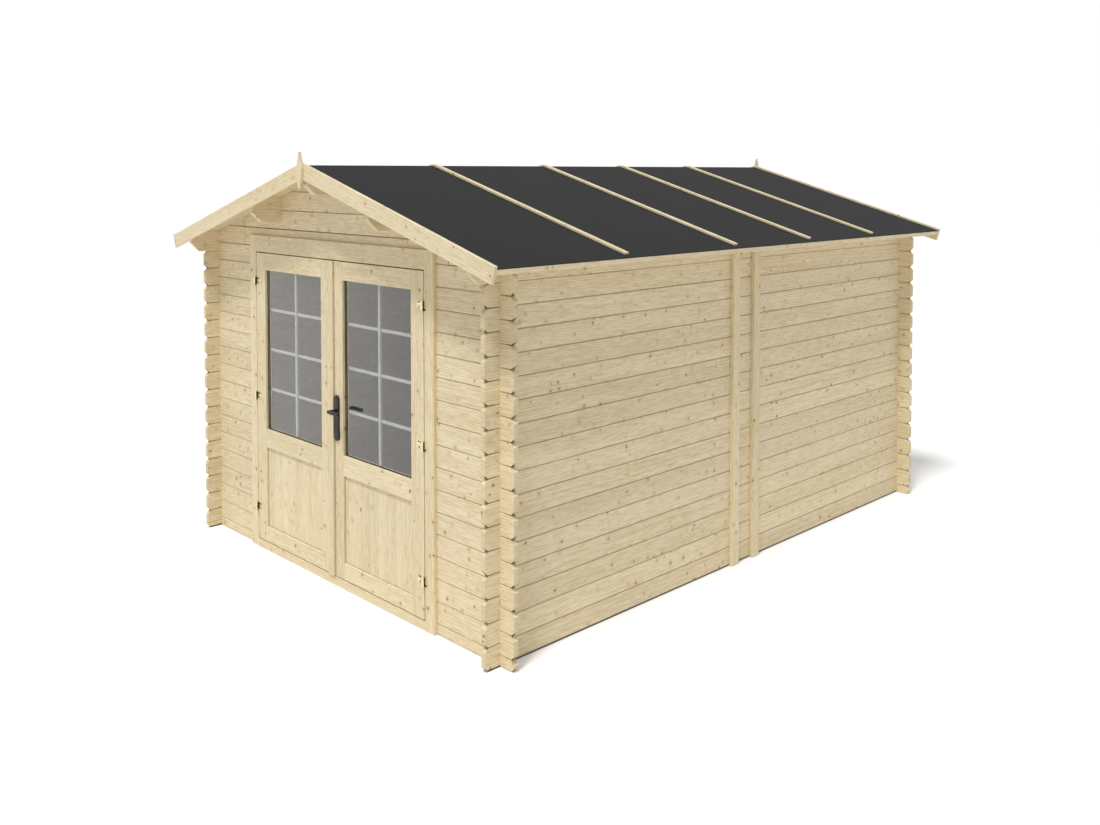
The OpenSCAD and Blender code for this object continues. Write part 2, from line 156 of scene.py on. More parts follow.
def noise(tree, vector, stretch, detail=2.0, roughness=0.5):
    scaled = vector_calc(tree, "MULTIPLY", vector, stretch)
    made = add_node(
        tree, "ShaderNodeTexNoise",
        {"Vector": scaled, "Scale": 1.0, "Detail": detail, "Roughness": roughness}
    )
    return made


def split(tree, vector):
    return add_node(tree, "ShaderNodeSeparateXYZ", {0: vector}).outputs


def new_material(name):
    material = bpy.data.materials.new(name)
    material.use_nodes = True
    tree = material.node_tree
    return material, tree, tree.nodes["Principled BSDF"]


def link(tree, source, shader, socket):
    tree.links.new(source, shader.inputs[socket])


def add_bump(tree, shader, height, strength, distance):
    bump = add_node(tree, "ShaderNodeBump", {"Height": height, "Strength": strength, "Distance": distance})
    link(tree, bump.outputs[0], shader, "Normal")


# Turns that lay the grain along each axis
GRAIN = {
    "x": (0, 0, 0),
    "y": (0, 0, -math.pi / 2),
    "z": (0, math.pi / 2, 0),
    "right_slope": (0, -PITCH, 0),
    "left_slope": (0, PITCH, 0),
}

# Colours of the wood
WALL_PALE = srgb(246, 232, 199)
WALL_DEEP = srgb(203, 183, 140)
TRIM_PALE = srgb(245, 231, 197)
TRIM_DEEP = srgb(206, 187, 144)
WARM_TINT = srgb(233, 205, 166)
END_GRAIN = srgb(205, 180, 136)
KNOT_HALO = srgb(206, 176, 124)
KNOT_PALE = srgb(138, 114, 74)
KNOT_DEEP = srgb(106, 86, 53)
# Painted shade for the seams, the notches, the foot of the side walls and the upright joints
SEAM_SHADE = srgb(112, 90, 56)
NOTCH_SHADE = srgb(94, 78, 48)
FOOT_SHADE = srgb(40, 32, 20)
JOINT_SHADE = srgb(76, 60, 36)

# Figure of the wood: how often it changes along the grain and across it
STREAKS = (1.8, 30.0, 30.0)
CLOUDS = (0.35, 6.0, 6.0)
FLECKS = (13.0, 135.0, 135.0)
FIBRES = (9.0, 330.0, 330.0)
WARP = (0.7, 5.0, 5.0)
WARP_REACH = (0.0, 0.05, 0.05)
RING_RATE = 520.0
RING_BEND = 0.008
KNOT_SCALE = 17.0
KNOT_SIZE = (0.06, 0.175)
KNOT_EDGE = (45.0, 45.0, 45.0)
KNOT_WANDER = (0.006, 0.008, 0.008)
BOARD_SHIFT = (6.1, 5.3, 4.7)
# Heights between which the painted shade at the foot of the side walls fades
FOOT_SHADE_H = (0.0075, 0.0125)

# The faces toward the room: their share of the outer faces' figure, and the pale figure they keep to
ROOM_SHARE = 0.12
PLAIN_FIGURE = 0.05


# Factor that makes the faces toward the room plainer than those outside
def room_factor(tree, place):
    parts = split(tree, place)
    shares = []
    for axis, half in ((0, HALF_W), (1, HALF_L)):
        out = calc(tree, "ABSOLUTE", parts[axis])
        shares.append(fade(tree, out, half - WALL_T + GROOVE, half - GROOVE, ROOM_SHARE, 1.0))
    return calc(tree, "MAXIMUM", shares[0], shares[1])


# Planed spruce: grain along one axis, streaks, fine fibres, small brown knots, end grain, and painted
# shade in the seams
def spruce(name, axis, pale, deep, logs=False):
    material, tree, shader = new_material(name)
    place = add_node(tree, "ShaderNodeTexCoord")
    along = add_node(
        tree, "ShaderNodeMapping",
        {"Vector": place.outputs["Object"], "Rotation": GRAIN[axis]}
    ).outputs[0]
    facing = add_node(
        tree, "ShaderNodeMapping",
        {"Vector": place.outputs["Normal"], "Rotation": GRAIN[axis]}, vector_type="VECTOR"
    ).outputs[0]
    board = add_node(tree, "ShaderNodeAttribute", attribute_name="board").outputs["Fac"]
    crease_shade = add_node(tree, "ShaderNodeAttribute", attribute_name="crease_shade").outputs["Fac"]
    chance = add_node(tree, "ShaderNodeTexWhiteNoise", {"W": board}, noise_dimensions="1D")
    moved = vector_calc(tree, "MULTIPLY", chance.outputs["Color"], BOARD_SHIFT)
    spot = vector_calc(tree, "ADD", along, moved)

    # Knots, uneven in outline
    wander = noise(tree, spot, KNOT_EDGE, 1.0).outputs["Color"]
    loose = vector_calc(tree, "ADD", spot, vector_calc(tree, "MULTIPLY", wander, KNOT_WANDER))
    cells = add_node(tree, "ShaderNodeTexVoronoi", {"Vector": loose, "Scale": KNOT_SCALE}, feature="F1")
    cell = add_node(tree, "ShaderNodeSeparateColor", {0: cells.outputs["Color"]})
    radius = fade(tree, cell.outputs[0], 0.0, 1.0, KNOT_SIZE[0], KNOT_SIZE[1])
    ratio = calc(tree, "DIVIDE", cells.outputs["Distance"], radius)
    depth = fade(tree, cell.outputs[1], 0.0, 0.8, 0.4, 1.0)
    knot = calc(tree, "MULTIPLY", fade(tree, ratio, 0.35, 1.2, 1.0, 0.0), depth)
    halo = fade(tree, ratio, 0.8, 3.0, 1.0, 0.0)

    # Growth rings, bent around the knots
    warp = noise(tree, spot, WARP, 1.0).outputs["Color"]
    bent = vector_calc(tree, "ADD", spot, vector_calc(tree, "MULTIPLY", warp, WARP_REACH))
    parts = split(tree, bent)
    squares = calc(
        tree, "ADD", calc(tree, "MULTIPLY", parts[1], parts[1]), calc(tree, "MULTIPLY", parts[2], parts[2])
    )
    across = calc(tree, "SQRT", squares)
    reach = calc(tree, "ADD", across, calc(tree, "MULTIPLY", halo, RING_BEND))
    rings = calc(tree, "SINE", calc(tree, "MULTIPLY", reach, RING_RATE))
    late = fade(tree, rings, 0.1, 1.0)

    # Streaks, clouds, flecks and fibres
    streak = noise(tree, spot, STREAKS, 3.0, 0.6).outputs[0]
    broad = noise(tree, spot, CLOUDS, 1.0).outputs[0]
    fleck = noise(tree, spot, FLECKS, 2.0, 0.6).outputs[0]
    fibre = noise(tree, spot, FIBRES, 2.0, 0.6).outputs[0]
    figure = calc(tree, "MULTIPLY", late, 0.2)
    figure = calc(tree, "ADD", fade(tree, streak, 0.3, 0.7, 0.0, 0.17), figure)
    figure = calc(tree, "ADD", figure, fade(tree, fleck, 0.36, 0.66, -0.08, 0.27))
    figure = calc(tree, "ADD", figure, fade(tree, fibre, 0.3, 0.75, 0.0, 0.26))
    figure = calc(tree, "ADD", figure, fade(tree, broad, 0.35, 0.7, 0.0, 0.16), True)
    shown = 1.0
    if logs:
        shown = room_factor(tree, place.outputs["Object"])
        hidden = calc(tree, "SUBTRACT", 1.0, shown)
        figure = calc(tree, "MULTIPLY", figure, shown)
        figure = calc(tree, "ADD", figure, calc(tree, "MULTIPLY", hidden, PLAIN_FIGURE))
    colour = blend(tree, figure, pale, deep)

    # Each board has a tone of its own
    tone = fade(tree, chance.outputs["Value"], 0.0, 1.0, 0.96, 1.03)
    shade = add_node(tree, "ShaderNodeCombineColor", {0: tone, 1: tone, 2: tone}).outputs[0]
    colour = blend(tree, 1.0, colour, shade, "MULTIPLY")
    hue = add_node(tree, "ShaderNodeSeparateColor", {0: chance.outputs["Color"]})
    colour = blend(tree, calc(tree, "MULTIPLY", hue.outputs[1], 0.08), colour, WARM_TINT)

    # End grain is a little deeper in colour
    lean = calc(tree, "ABSOLUTE", split(tree, facing)[0])
    end = fade(tree, lean, 0.75, 0.95)
    colour = blend(tree, calc(tree, "MULTIPLY", end, 0.25), colour, END_GRAIN)

    # Colour of the knots and around them
    colour = blend(tree, calc(tree, "MULTIPLY", halo, 0.25), colour, KNOT_HALO)
    core = blend(tree, fade(tree, fibre, 0.3, 0.7), KNOT_PALE, KNOT_DEEP)
    stain = calc(tree, "MULTIPLY", calc(tree, "MULTIPLY", knot, 0.85), shown)
    colour = blend(tree, stain, colour, core)

    # Painted shade in the seams, deepest on faces that look down
    upward = split(tree, place.outputs["Normal"])[2]
    downward_shade = fade(tree, upward, -0.3, 0.3, 1.0, 0.2)
    seam_shade = calc(tree, "MULTIPLY", fade(tree, crease_shade, 0.05, 0.85, 0.0, 0.92), downward_shade)
    colour = blend(tree, calc(tree, "MULTIPLY", seam_shade, shown), colour, SEAM_SHADE)
    if logs:
        # Painted shade on the slanted faces of the notches between the log ends, deepest on those that
        # look down
        slant = calc(
            tree, "MULTIPLY", fade(tree, lean, 0.45, 0.6), fade(tree, lean, 0.8, 0.9, 1.0, 0.0)
        )
        notch_shade = calc(tree, "MULTIPLY", slant, fade(tree, upward, -0.55, -0.35, 0.25, 0.04))
        colour = blend(tree, notch_shade, colour, NOTCH_SHADE)
    if logs and axis == "y":
        # Painted shade at the foot, where the side walls meet the ground
        level = split(tree, place.outputs["Object"])[2]
        colour = blend(tree, fade(tree, level, FOOT_SHADE_H[0], FOOT_SHADE_H[1], 0.95, 0.0), colour, FOOT_SHADE)
    # Deeper painted shade in the upright joints beside the gable and at the depth of the notches
    colour = blend(tree, fade(tree, crease_shade, 1.1, 1.9, 0.0, 0.8), colour, JOINT_SHADE)
    link(tree, colour, shader, "Base Color")

    # Gloss and relief
    link(tree, fade(tree, streak, 0.2, 0.8, 0.5, 0.68), shader, "Roughness")
    shader.inputs["Specular IOR Level"].default_value = 0.3
    height = calc(tree, "ADD", calc(tree, "MULTIPLY", fibre, 0.6), calc(tree, "MULTIPLY", late, 0.3))
    height = calc(tree, "SUBTRACT", height, calc(tree, "MULTIPLY", knot, 0.5))
    add_bump(tree, shader, height, 0.25, 0.0012)
    return material


# Plain surface clouded between two tones
def make_clouded(name, scale, first, second, rough, metallic=0.0):
    material, tree, shader = new_material(name)
    place = add_node(tree, "ShaderNodeTexCoord").outputs["Object"]
    cloud = noise(tree, place, (scale, scale, scale), 2.0).outputs[0]
    colour = blend(tree, fade(tree, cloud, 0.3, 0.7), first, second)
    link(tree, colour, shader, "Base Color")
    shader.inputs["Metallic"].default_value = metallic
    link(tree, fade(tree, cloud, 0.2, 0.8, rough[0], rough[1]), shader, "Roughness")
    return material


# Roofing felt: dark mineral granules, faintly mottled
def make_felt():
    material, tree, shader = new_material("roof_felt")
    place = add_node(tree, "ShaderNodeTexCoord").outputs["Object"]
    grain = noise(tree, place, (420.0, 420.0, 420.0), 2.0, 0.7).outputs[0]
    mottle = noise(tree, place, (3.0, 1.1, 3.0), 3.0, 0.6).outputs[0]
    colour = blend(tree, fade(tree, grain, 0.3, 0.7), srgb(29, 29, 30), srgb(43, 43, 42))
    colour = blend(tree, fade(tree, mottle, 0.3, 0.7, 0.0, 0.25), colour, srgb(32, 32, 33))
    link(tree, colour, shader, "Base Color")
    link(tree, fade(tree, grain, 0.2, 0.8, 0.8, 0.95), shader, "Roughness")
    shader.inputs["Specular IOR Level"].default_value = 0.2
    add_bump(tree, shader, grain, 0.4, 0.001)
    return material


# Brass of the hinges, slightly tarnished, with painted shade on the side of each barrel turned toward the
# wall
BARREL_EDGE = (BARREL_R + 0.0002, BARREL_R + 0.001)
BARREL_SHADE_WAY = (0.57, 0.82, 0.0)


def make_brass():
    material, tree, shader = new_material("hinge_brass")
    texture = add_node(tree, "ShaderNodeTexCoord")
    place = texture.outputs["Object"]
    cloud = noise(tree, place, (60.0, 60.0, 60.0), 3.0, 0.6).outputs[0]
    brush = noise(tree, place, (900.0, 900.0, 40.0), 1.0).outputs[0]
    colour = blend(tree, fade(tree, cloud, 0.35, 0.75), srgb(250, 240, 192), srgb(214, 196, 138))
    parts = split(tree, place)
    aside = calc(tree, "SUBTRACT", calc(tree, "ABSOLUTE", parts[0]), HINGE_X)
    ahead = calc(tree, "SUBTRACT", parts[1], HINGE_Y)
    squares = calc(
        tree, "ADD", calc(tree, "MULTIPLY", aside, aside), calc(tree, "MULTIPLY", ahead, ahead)
    )
    barrel = fade(tree, calc(tree, "SQRT", squares), BARREL_EDGE[0], BARREL_EDGE[1], 1.0, 0.0)
    # Painted shade: each barrel is darkened on the side facing a fixed direction, back toward the wall
    turned = add_node(
        tree, "ShaderNodeVectorMath", {0: texture.outputs["Normal"], 1: BARREL_SHADE_WAY},
        operation="DOT_PRODUCT"
    ).outputs["Value"]
    barrel_shade = calc(tree, "MULTIPLY", barrel, fade(tree, turned, 0.05, 0.45))
    colour = blend(tree, barrel_shade, colour, srgb(66, 53, 30))
    link(tree, colour, shader, "Base Color")
    shader.inputs["Metallic"].default_value = 1.0
    link(tree, fade(tree, brush, 0.2, 0.8, 0.26, 0.42), shader, "Roughness")
    add_bump(tree, shader, brush, 0.1, 0.0004)
    return material


# Black satin coating of the handle
def make_black():
    material, tree, shader = new_material("black_metal")
    place = add_node(tree, "ShaderNodeTexCoord").outputs["Object"]
    cloud = noise(tree, place, (45.0, 45.0, 45.0), 3.0, 0.6).outputs[0]
    peel = noise(tree, place, (700.0, 700.0, 700.0), 1.0).outputs[0]
    colour = blend(tree, fade(tree, cloud, 0.3, 0.7), srgb(26, 25, 24), srgb(38, 36, 34))
    link(tree, colour, shader, "Base Color")
    link(tree, fade(tree, cloud, 0.2, 0.8, 0.34, 0.48), shader, "Roughness")
    shader.inputs["Specular IOR Level"].default_value = 0.35
    add_bump(tree, shader, peel, 0.08, 0.0004)
    return material


# Grey-white paint of the glazing bars
def make_paint():
    material, tree, shader = new_material("bar_paint")
    place = add_node(tree, "ShaderNodeTexCoord").outputs["Object"]
    cloud = noise(tree, place, (14.0, 14.0, 14.0), 3.0, 0.6).outputs[0]
    brush = noise(tree, place, (260.0, 260.0, 260.0), 2.0).outputs[0]
    colour = blend(tree, fade(tree, cloud, 0.3, 0.7), srgb(164, 158, 146), srgb(154, 148, 136))
    link(tree, colour, shader, "Base Color")
    link(tree, fade(tree, cloud, 0.2, 0.8, 0.4, 0.55), shader, "Roughness")
    add_bump(tree, shader, brush, 0.08, 0.0005)
    return material


# Window glass: clear with a grey cast and a sharp gloss
GLASS_TINT = (0.965, 0.98, 1.0, 1)


def make_glass():
    material, tree, shader = new_material("glass")
    out = tree.nodes["Material Output"]
    place = add_node(tree, "ShaderNodeTexCoord").outputs["Object"]
    wave = noise(tree, place, (3.0, 3.0, 3.0), 1.0).outputs[0]
    clear = add_node(tree, "ShaderNodeBsdfTransparent", {"Color": GLASS_TINT})
    haze = blend(tree, fade(tree, wave, 0.3, 0.7), srgb(24, 25, 30), srgb(32, 33, 38))
    link(tree, haze, shader, "Base Color")
    shader.inputs["Roughness"].default_value = 0.04
    shader.inputs["IOR"].default_value = 1.45
    add_bump(tree, shader, wave, 0.05, 0.002)
    both = add_node(tree, "ShaderNodeAddShader", {0: clear.outputs[0], 1: shader.outputs[0]})
    tree.links.new(both.outputs[0], out.inputs[0])
    return material


wall_wood = {"y": spruce("wall_spruce_y", "y", WALL_PALE, WALL_DEEP)}
log_wood = {axis: spruce("log_spruce_" + axis, axis, WALL_PALE, WALL_DEEP, True) for axis in ("x", "y")}
trim_wood = {axis: spruce("trim_spruce_" + axis, axis, TRIM_PALE, TRIM_DEEP) for axis in GRAIN}
felt = make_felt()
# Dark strips: glass seals, partly real seal and partly painted shade in the glass slots, and panel joints,
# painted shade in the gaps around the panels
seal_shade = make_clouded("glazing_seal_shade", 40.0, srgb(46, 40, 30), srgb(60, 52, 40), (0.6, 0.8))
joint_shade = make_clouded("panel_joint_shade", 40.0, srgb(146, 122, 80), srgb(128, 106, 68), (0.6, 0.8))
brass = make_brass()
bronze = make_clouded("bronze", 120.0, srgb(84, 70, 40), srgb(56, 46, 26), (0.32, 0.5), 1.0)
black = make_black()
zinc = make_clouded("zinc", 160.0, srgb(186, 186, 182), srgb(140, 140, 138), (0.35, 0.55), 0.9)
paint = make_paint()
glass = make_glass()

# Numbers that give each board of each piece its own tone
BOARDS_A_PIECE = 40
BOARD_STEP = 0.731
board_count = 0


# Helpers for pieces
def next_boards():
    global board_count
    board_count += BOARDS_A_PIECE
    return board_count


def islands(mesh_data):
    group = list(range(len(mesh_data.vertices)))

    def root(index):
        while group[index] != index:
            group[index] = group[group[index]]
            index = group[index]
        return index

    for edge in mesh_data.edges:
        group[root(edge.vertices[0])] = root(edge.vertices[1])
    order = {}
    return [order.setdefault(root(face.vertices[0]), len(order)) for face in mesh_data.polygons]


def finish_piece(name, bm, material, body, row=None, creased=None, replaces=(), smooth=None):
    mesh_data = bpy.data.meshes.new(name)
    bm.normal_update()
    bm.to_mesh(mesh_data)
    bm.free()
    first = next_boards()
    tones = mesh_data.attributes.new("board", "FLOAT", "FACE")
    rows = [row(face.center) for face in mesh_data.polygons] if row else islands(mesh_data)
    tones.data.foreach_set("value", [(first + index) * BOARD_STEP for index in rows])
    # Painted shade for the grooves, joints and notches, as a value on each point
    seams = mesh_data.attributes.new("crease_shade", "FLOAT", "POINT")
    if creased:
        seams.data.foreach_set("value", [float(creased(vert.co)) for vert in mesh_data.vertices])
    if smooth:
        mesh_data.polygons.foreach_set("use_smooth", [True] * len(mesh_data.polygons))
        mesh_data.set_sharp_from_angle(angle=math.radians(smooth))
    mesh_data.materials.append(material)
    piece = bpy.data.objects.new(name, mesh_data)
    scene.collection.objects.link(piece)
    if replaces:
        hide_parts(*replaces)
    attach(piece, body)
    return piece


# Distance within which points are one, and angle under which faces are flat
SAME_POINT = 0.00002
FLAT_ANGLE = math.radians(0.5)


def copy_node(name):
    source = nodes[name].data
    plain = bpy.data.meshes.new("plain")
    points = [vert.co.copy() for vert in source.vertices]
    plain.from_pydata(points, [], [tuple(face.vertices) for face in source.polygons])
    bm = bmesh.new()
    bm.from_mesh(plain)
    bpy.data.meshes.remove(plain)
    bmesh.ops.remove_doubles(bm, verts=bm.verts, dist=SAME_POINT)
    bmesh.ops.dissolve_limit(bm, angle_limit=FLAT_ANGLE, verts=bm.verts, edges=bm.edges)
    bmesh.ops.recalc_face_normals(bm, faces=bm.faces)
    return bm


def ease_edges(bm, width, segments=1, least=30):
    sharp = math.radians(least)
    edges = [
        edge for edge in bm.edges
        if edge.is_manifold and edge.is_convex and edge.calc_face_angle(0) > sharp
    ]
    bmesh.ops.bevel(
        bm, geom=edges, offset=width, segments=segments, profile=0.5, affect="EDGES", clamp_overlap=True
    )


# Solid between two ends, from the pairs of points that its long edges join
def add_bar(bm, pairs):
    near = [bm.verts.new(pair[0]) for pair in pairs]
    far = [bm.verts.new(pair[1]) for pair in pairs]
    bm.faces.new(near)
    bm.faces.new(list(reversed(far)))
    for i in range(len(pairs)):
        j = (i + 1) % len(pairs)
        bm.faces.new((near[i], far[i], far[j], near[j]))
    bmesh.ops.recalc_face_normals(bm, faces=bm.faces)


def add_block(bm, low, high):
    ends = list(zip(low, high))
    corners = [bm.verts.new((x, y, z)) for x in ends[0] for y in ends[1] for z in ends[2]]
    for quad in ((0, 1, 3, 2), (4, 6, 7, 5), (0, 4, 5, 1), (2, 3, 7, 6), (0, 2, 6, 4), (1, 5, 7, 3)):
        bm.faces.new([corners[i] for i in quad])


def bridge(bm, first, second):
    for i in range(len(first)):
        j = (i + 1) % len(first)
        bm.faces.new((first[i], first[j], second[j], second[i]))


# Thin frame lying against the inside of an opening
def add_frame(bm, x_ends, z_ends, width, y_ends):
    rings = []
    for inset, y in ((0, y_ends[0]), (width, y_ends[0]), (width, y_ends[1]), (0, y_ends[1])):
        low_x = x_ends[0] + inset
        high_x = x_ends[1] - inset
        low_z = z_ends[0] + inset
        high_z = z_ends[1] - inset
        corners = ((low_x, low_z), (high_x, low_z), (high_x, high_z), (low_x, high_z))
        rings.append([bm.verts.new((x, y, z)) for x, z in corners])
    for first, second in zip(rings, rings[1:] + rings[:1]):
        bridge(bm, first, second)


# Domed head of a screw or nail: shares of its radius and height
HEAD_SIDES = 12
HEAD_SHAPE = ((1.0, 0.0), (0.96, 0.45), (0.72, 0.85), (0.3, 1.0))


def add_screw(bm, place, normal, radius, height):
    turn = Vector(normal).normalized().to_track_quat("Z", "X")
    base = Vector(place)
    rings = []
    for wide, tall in HEAD_SHAPE:
        ring = []
        for step in range(HEAD_SIDES):
            angle = 2 * math.pi * step / HEAD_SIDES
            x = radius * wide * math.cos(angle)
            y = radius * wide * math.sin(angle)
            ring.append(bm.verts.new(base + turn @ Vector((x, y, height * tall))))
        rings.append(ring)
    for low, high in zip(rings, rings[1:]):
        bridge(bm, low, high)
    bm.faces.new(rings[-1])
    bm.faces.new(list(reversed(rings[0])))


# Which log or board a face belongs to
GABLE_FIRST_ROW = 20
ROW_MARGIN = 0.001


def side_row(centre):
    row = math.floor(centre.z / LOG_H)
    end = BATTEN_Y if row % 2 else -BATTEN_Y
    return row * 2 + (centre.y > end)


def end_row(centre):
    if centre.z > END_TOP:
        return GABLE_FIRST_ROW + math.floor((centre.z - END_TOP) / LOG_H)
    return math.floor(centre.z / LOG_H + 0.5)


def gable_row(centre):
    return math.floor((centre.z - END_TOP) / LOG_H + ROW_MARGIN)


# Painted-shade value of the upright joints beside the gable and of the depth of the notches, deeper than
# in the seams
JOINT = 2.2
SEAM_NEAR = 0.0006
JOINT_NEAR = 0.0004


# Points at the bottom of the log grooves, where the seams get painted shade
def in_side_groove(point):
    depth = min(HALF_W - abs(point.x), abs(point.x) - (HALF_W - WALL_T))
    if abs(abs(point.y) - (HALF_L + LOG_END - END_NOTCH)) < SEAM_NEAR:
        return JOINT
    return abs(depth - GROOVE) < SEAM_NEAR


def in_end_groove(point):
    depth = min(HALF_L - abs(point.y), abs(point.y) - (HALF_L - WALL_T))
    in_notch = abs(abs(point.x) - (HALF_W + LOG_END - END_NOTCH)) < SEAM_NEAR
    if in_notch or abs(depth - JOINT_GROOVE) < JOINT_NEAR:
        return JOINT
    return abs(depth - GROOVE) < SEAM_NEAR


# Walls of logs, the side walls cut where their logs end under the battens
CUT_NEAR = 0.00001
for name in ("left_wall", "right_wall"):
    bm = copy_node(name)
    for cut in (-BATTEN_Y, BATTEN_Y):
        geometry = bm.verts[:] + bm.edges[:] + bm.faces[:]
        bmesh.ops.bisect_plane(
            bm, geom=geometry, plane_co=(0, cut, 0), plane_no=(0, 1, 0), dist=CUT_NEAR
        )
    finish_piece(
        "logs_" + name, bm, log_wood["y"], "shed",
        row=side_row, creased=in_side_groove, replaces=(name,)
    )
END_WALLS = (
    ("rear_wall", end_row),
    ("front_wall_left", end_row),
    ("front_wall_right", end_row),
    ("rear_gable", gable_row),
    ("front_gable", gable_row),
)
for name, row in END_WALLS:
    finish_piece(
        "logs_" + name, copy_node(name), log_wood["x"], "shed",
        row=row, creased=in_end_groove, replaces=(name,)
    )

# Timbers that take the shape of their node with eased edges
TIMBERS = (
    ("left_eaves_beam", "shed", "wall_spruce", "y"),
    ("right_eaves_beam", "shed", "wall_spruce", "y"),
    ("ridge_purlin", "shed", "wall_spruce", "y"),
    ("left_purlin", "shed", "wall_spruce", "y"),
    ("right_purlin", "shed", "wall_spruce", "y"),
    ("left_felt_laths", "shed", "trim_spruce", "left_slope"),
    ("right_felt_laths", "shed", "trim_spruce", "right_slope"),
    ("eave_trims", "shed", "trim_spruce", "y"),
    ("front_left_barge_board", "shed", "trim_spruce", "left_slope"),
    ("front_right_barge_board", "shed", "trim_spruce", "right_slope"),
    ("rear_left_barge_board", "shed", "trim_spruce", "left_slope"),
    ("rear_right_barge_board", "shed", "trim_spruce", "right_slope"),
    ("finials", "shed", "trim_spruce", "z"),
    ("left_wall_battens", "shed", "trim_spruce", "z"),
    ("right_wall_battens", "shed", "trim_spruce", "z"),
    ("left_door_jamb", "shed", "trim_spruce", "z"),
    ("right_door_jamb", "shed", "trim_spruce", "z"),
    ("door_head", "shed", "trim_spruce", "x"),
    ("door_sill", "shed", "trim_spruce", "x"),
    ("left_door_stiles", "left_door", "trim_spruce", "z"),
    ("left_door_rails", "left_door", "trim_spruce", "x"),
    ("meeting_strip", "left_door", "trim_spruce", "z"),
    ("right_door_stiles", "right_door", "trim_spruce", "z"),
    ("right_door_rails", "right_door", "trim_spruce", "x"),
)
TIMBER_EASE = 0.0014
for name, body, slot, axis in TIMBERS:
    bm = copy_node(name)
    ease_edges(bm, TIMBER_EASE)
    wood = wall_wood if slot == "wall_spruce" else trim_wood
    finish_piece("timber_" + name, bm, wood[axis], body, replaces=(name,))


# Points on the roof slopes
def slope_point(side, run, rise, y):
    x = run * math.cos(PITCH) + rise * math.sin(PITCH)
    z = RIDGE_Z - run * math.sin(PITCH) + rise * math.cos(PITCH)
    return Vector((side * x, y, z))


def ridge_point(rise, y):
    return Vector((0, y, RIDGE_Z + rise / math.cos(PITCH)))


# Roof boards, laid down the slope with grooves between them on the underside
ROOF_BOARDS = 48
ROOF_BOARD_GROOVE = 0.003


def roof_board_row(centre):
    return math.floor((centre.y + ROOF_Y) / (2 * ROOF_Y) * ROOF_BOARDS)


deck_run = EAVE_RUN - TRIM_T - ROOF_FIT
deck_low = ROOF_FIT
deck_high = ROOF_FIT + DECK_T
board_w = 2 * ROOF_Y / ROOF_BOARDS
for side, hand in HANDS:
    bm = bmesh.new()
    for k in range(ROOF_BOARDS):
        near = -ROOF_Y + k * board_w
        far = near + board_w
        section = (
            (near, deck_low + ROOF_BOARD_GROOVE),
            (near + ROOF_BOARD_GROOVE, deck_low),
            (far - ROOF_BOARD_GROOVE, deck_low),
            (far, deck_low + ROOF_BOARD_GROOVE),
            (far, deck_high),
            (near, deck_high),
        )
        add_bar(bm, [(ridge_point(rise, y), slope_point(side, deck_run, rise, y)) for y, rise in section])
    name = hand + "_roof_deck"
    finish_piece(
        "boards_" + name, bm, trim_wood[hand + "_slope"], "shed",
        row=roof_board_row, replaces=(name,)
    )

# Tongue-and-groove boards in the lower door panels
PANEL_BOARDS = 8
PANEL_GROOVE = 0.0016
panel_board_w = (PANEL_X[1] - PANEL_X[0]) / PANEL_BOARDS
for side, hand in HANDS:
    bm = bmesh.new()
    for k in range(PANEL_BOARDS):
        near = PANEL_X[0] + k * panel_board_w
        far = near + panel_board_w
        section = (
            (near, PANEL_Y[0] + PANEL_GROOVE),
            (near + PANEL_GROOVE, PANEL_Y[0]),
            (far - PANEL_GROOVE, PANEL_Y[0]),
            (far, PANEL_Y[0] + PANEL_GROOVE),
            (far, PANEL_Y[1] - PANEL_GROOVE),
            (far - PANEL_GROOVE, PANEL_Y[1]),
            (near + PANEL_GROOVE, PANEL_Y[1]),
            (near, PANEL_Y[1] - PANEL_GROOVE),
        )
        add_bar(bm, [[Vector((side * x, y, z)) for z in PANEL_Z] for x, y in section])
    name = hand + "_door_panel"
    finish_piece("boards_" + name, bm, trim_wood["z"], hand + "_door", replaces=(name,))

# Glazing bars behind the glass: one upright before three level ones
BAR_W = 0.018
BAR_UPRIGHT_Y = (-1.9476, -1.932)
BAR_LEVEL_Y = (-1.9395, -1.9315)
BAR_SEAT = 0.003
BAR_EASE = 0.003
PANE_ROWS = 4
for side, hand in HANDS:
    bm = bmesh.new()
    middle = side * (GLASS_X[0] + GLASS_X[1]) / 2
    add_block(
        bm, (middle - BAR_W / 2, BAR_UPRIGHT_Y[0], GLASS_Z[0] - BAR_SEAT),
        (middle + BAR_W / 2, BAR_UPRIGHT_Y[1], GLASS_Z[1] + BAR_SEAT)
    )
    ends = sorted((side * (GLASS_X[0] - BAR_SEAT), side * (GLASS_X[1] + BAR_SEAT)))
    for k in range(1, PANE_ROWS):
        level = GLASS_Z[0] + (GLASS_Z[1] - GLASS_Z[0]) * k / PANE_ROWS
        add_block(
            bm, (ends[0], BAR_LEVEL_Y[0], level - BAR_W / 2),
            (ends[1], BAR_LEVEL_Y[1], level + BAR_W / 2)
        )
    bmesh.ops.recalc_face_normals(bm, faces=bm.faces)
    ease_edges(bm, BAR_EASE, 2)
    finish_piece(hand + "_glazing_bars", bm, paint, hand + "_door")

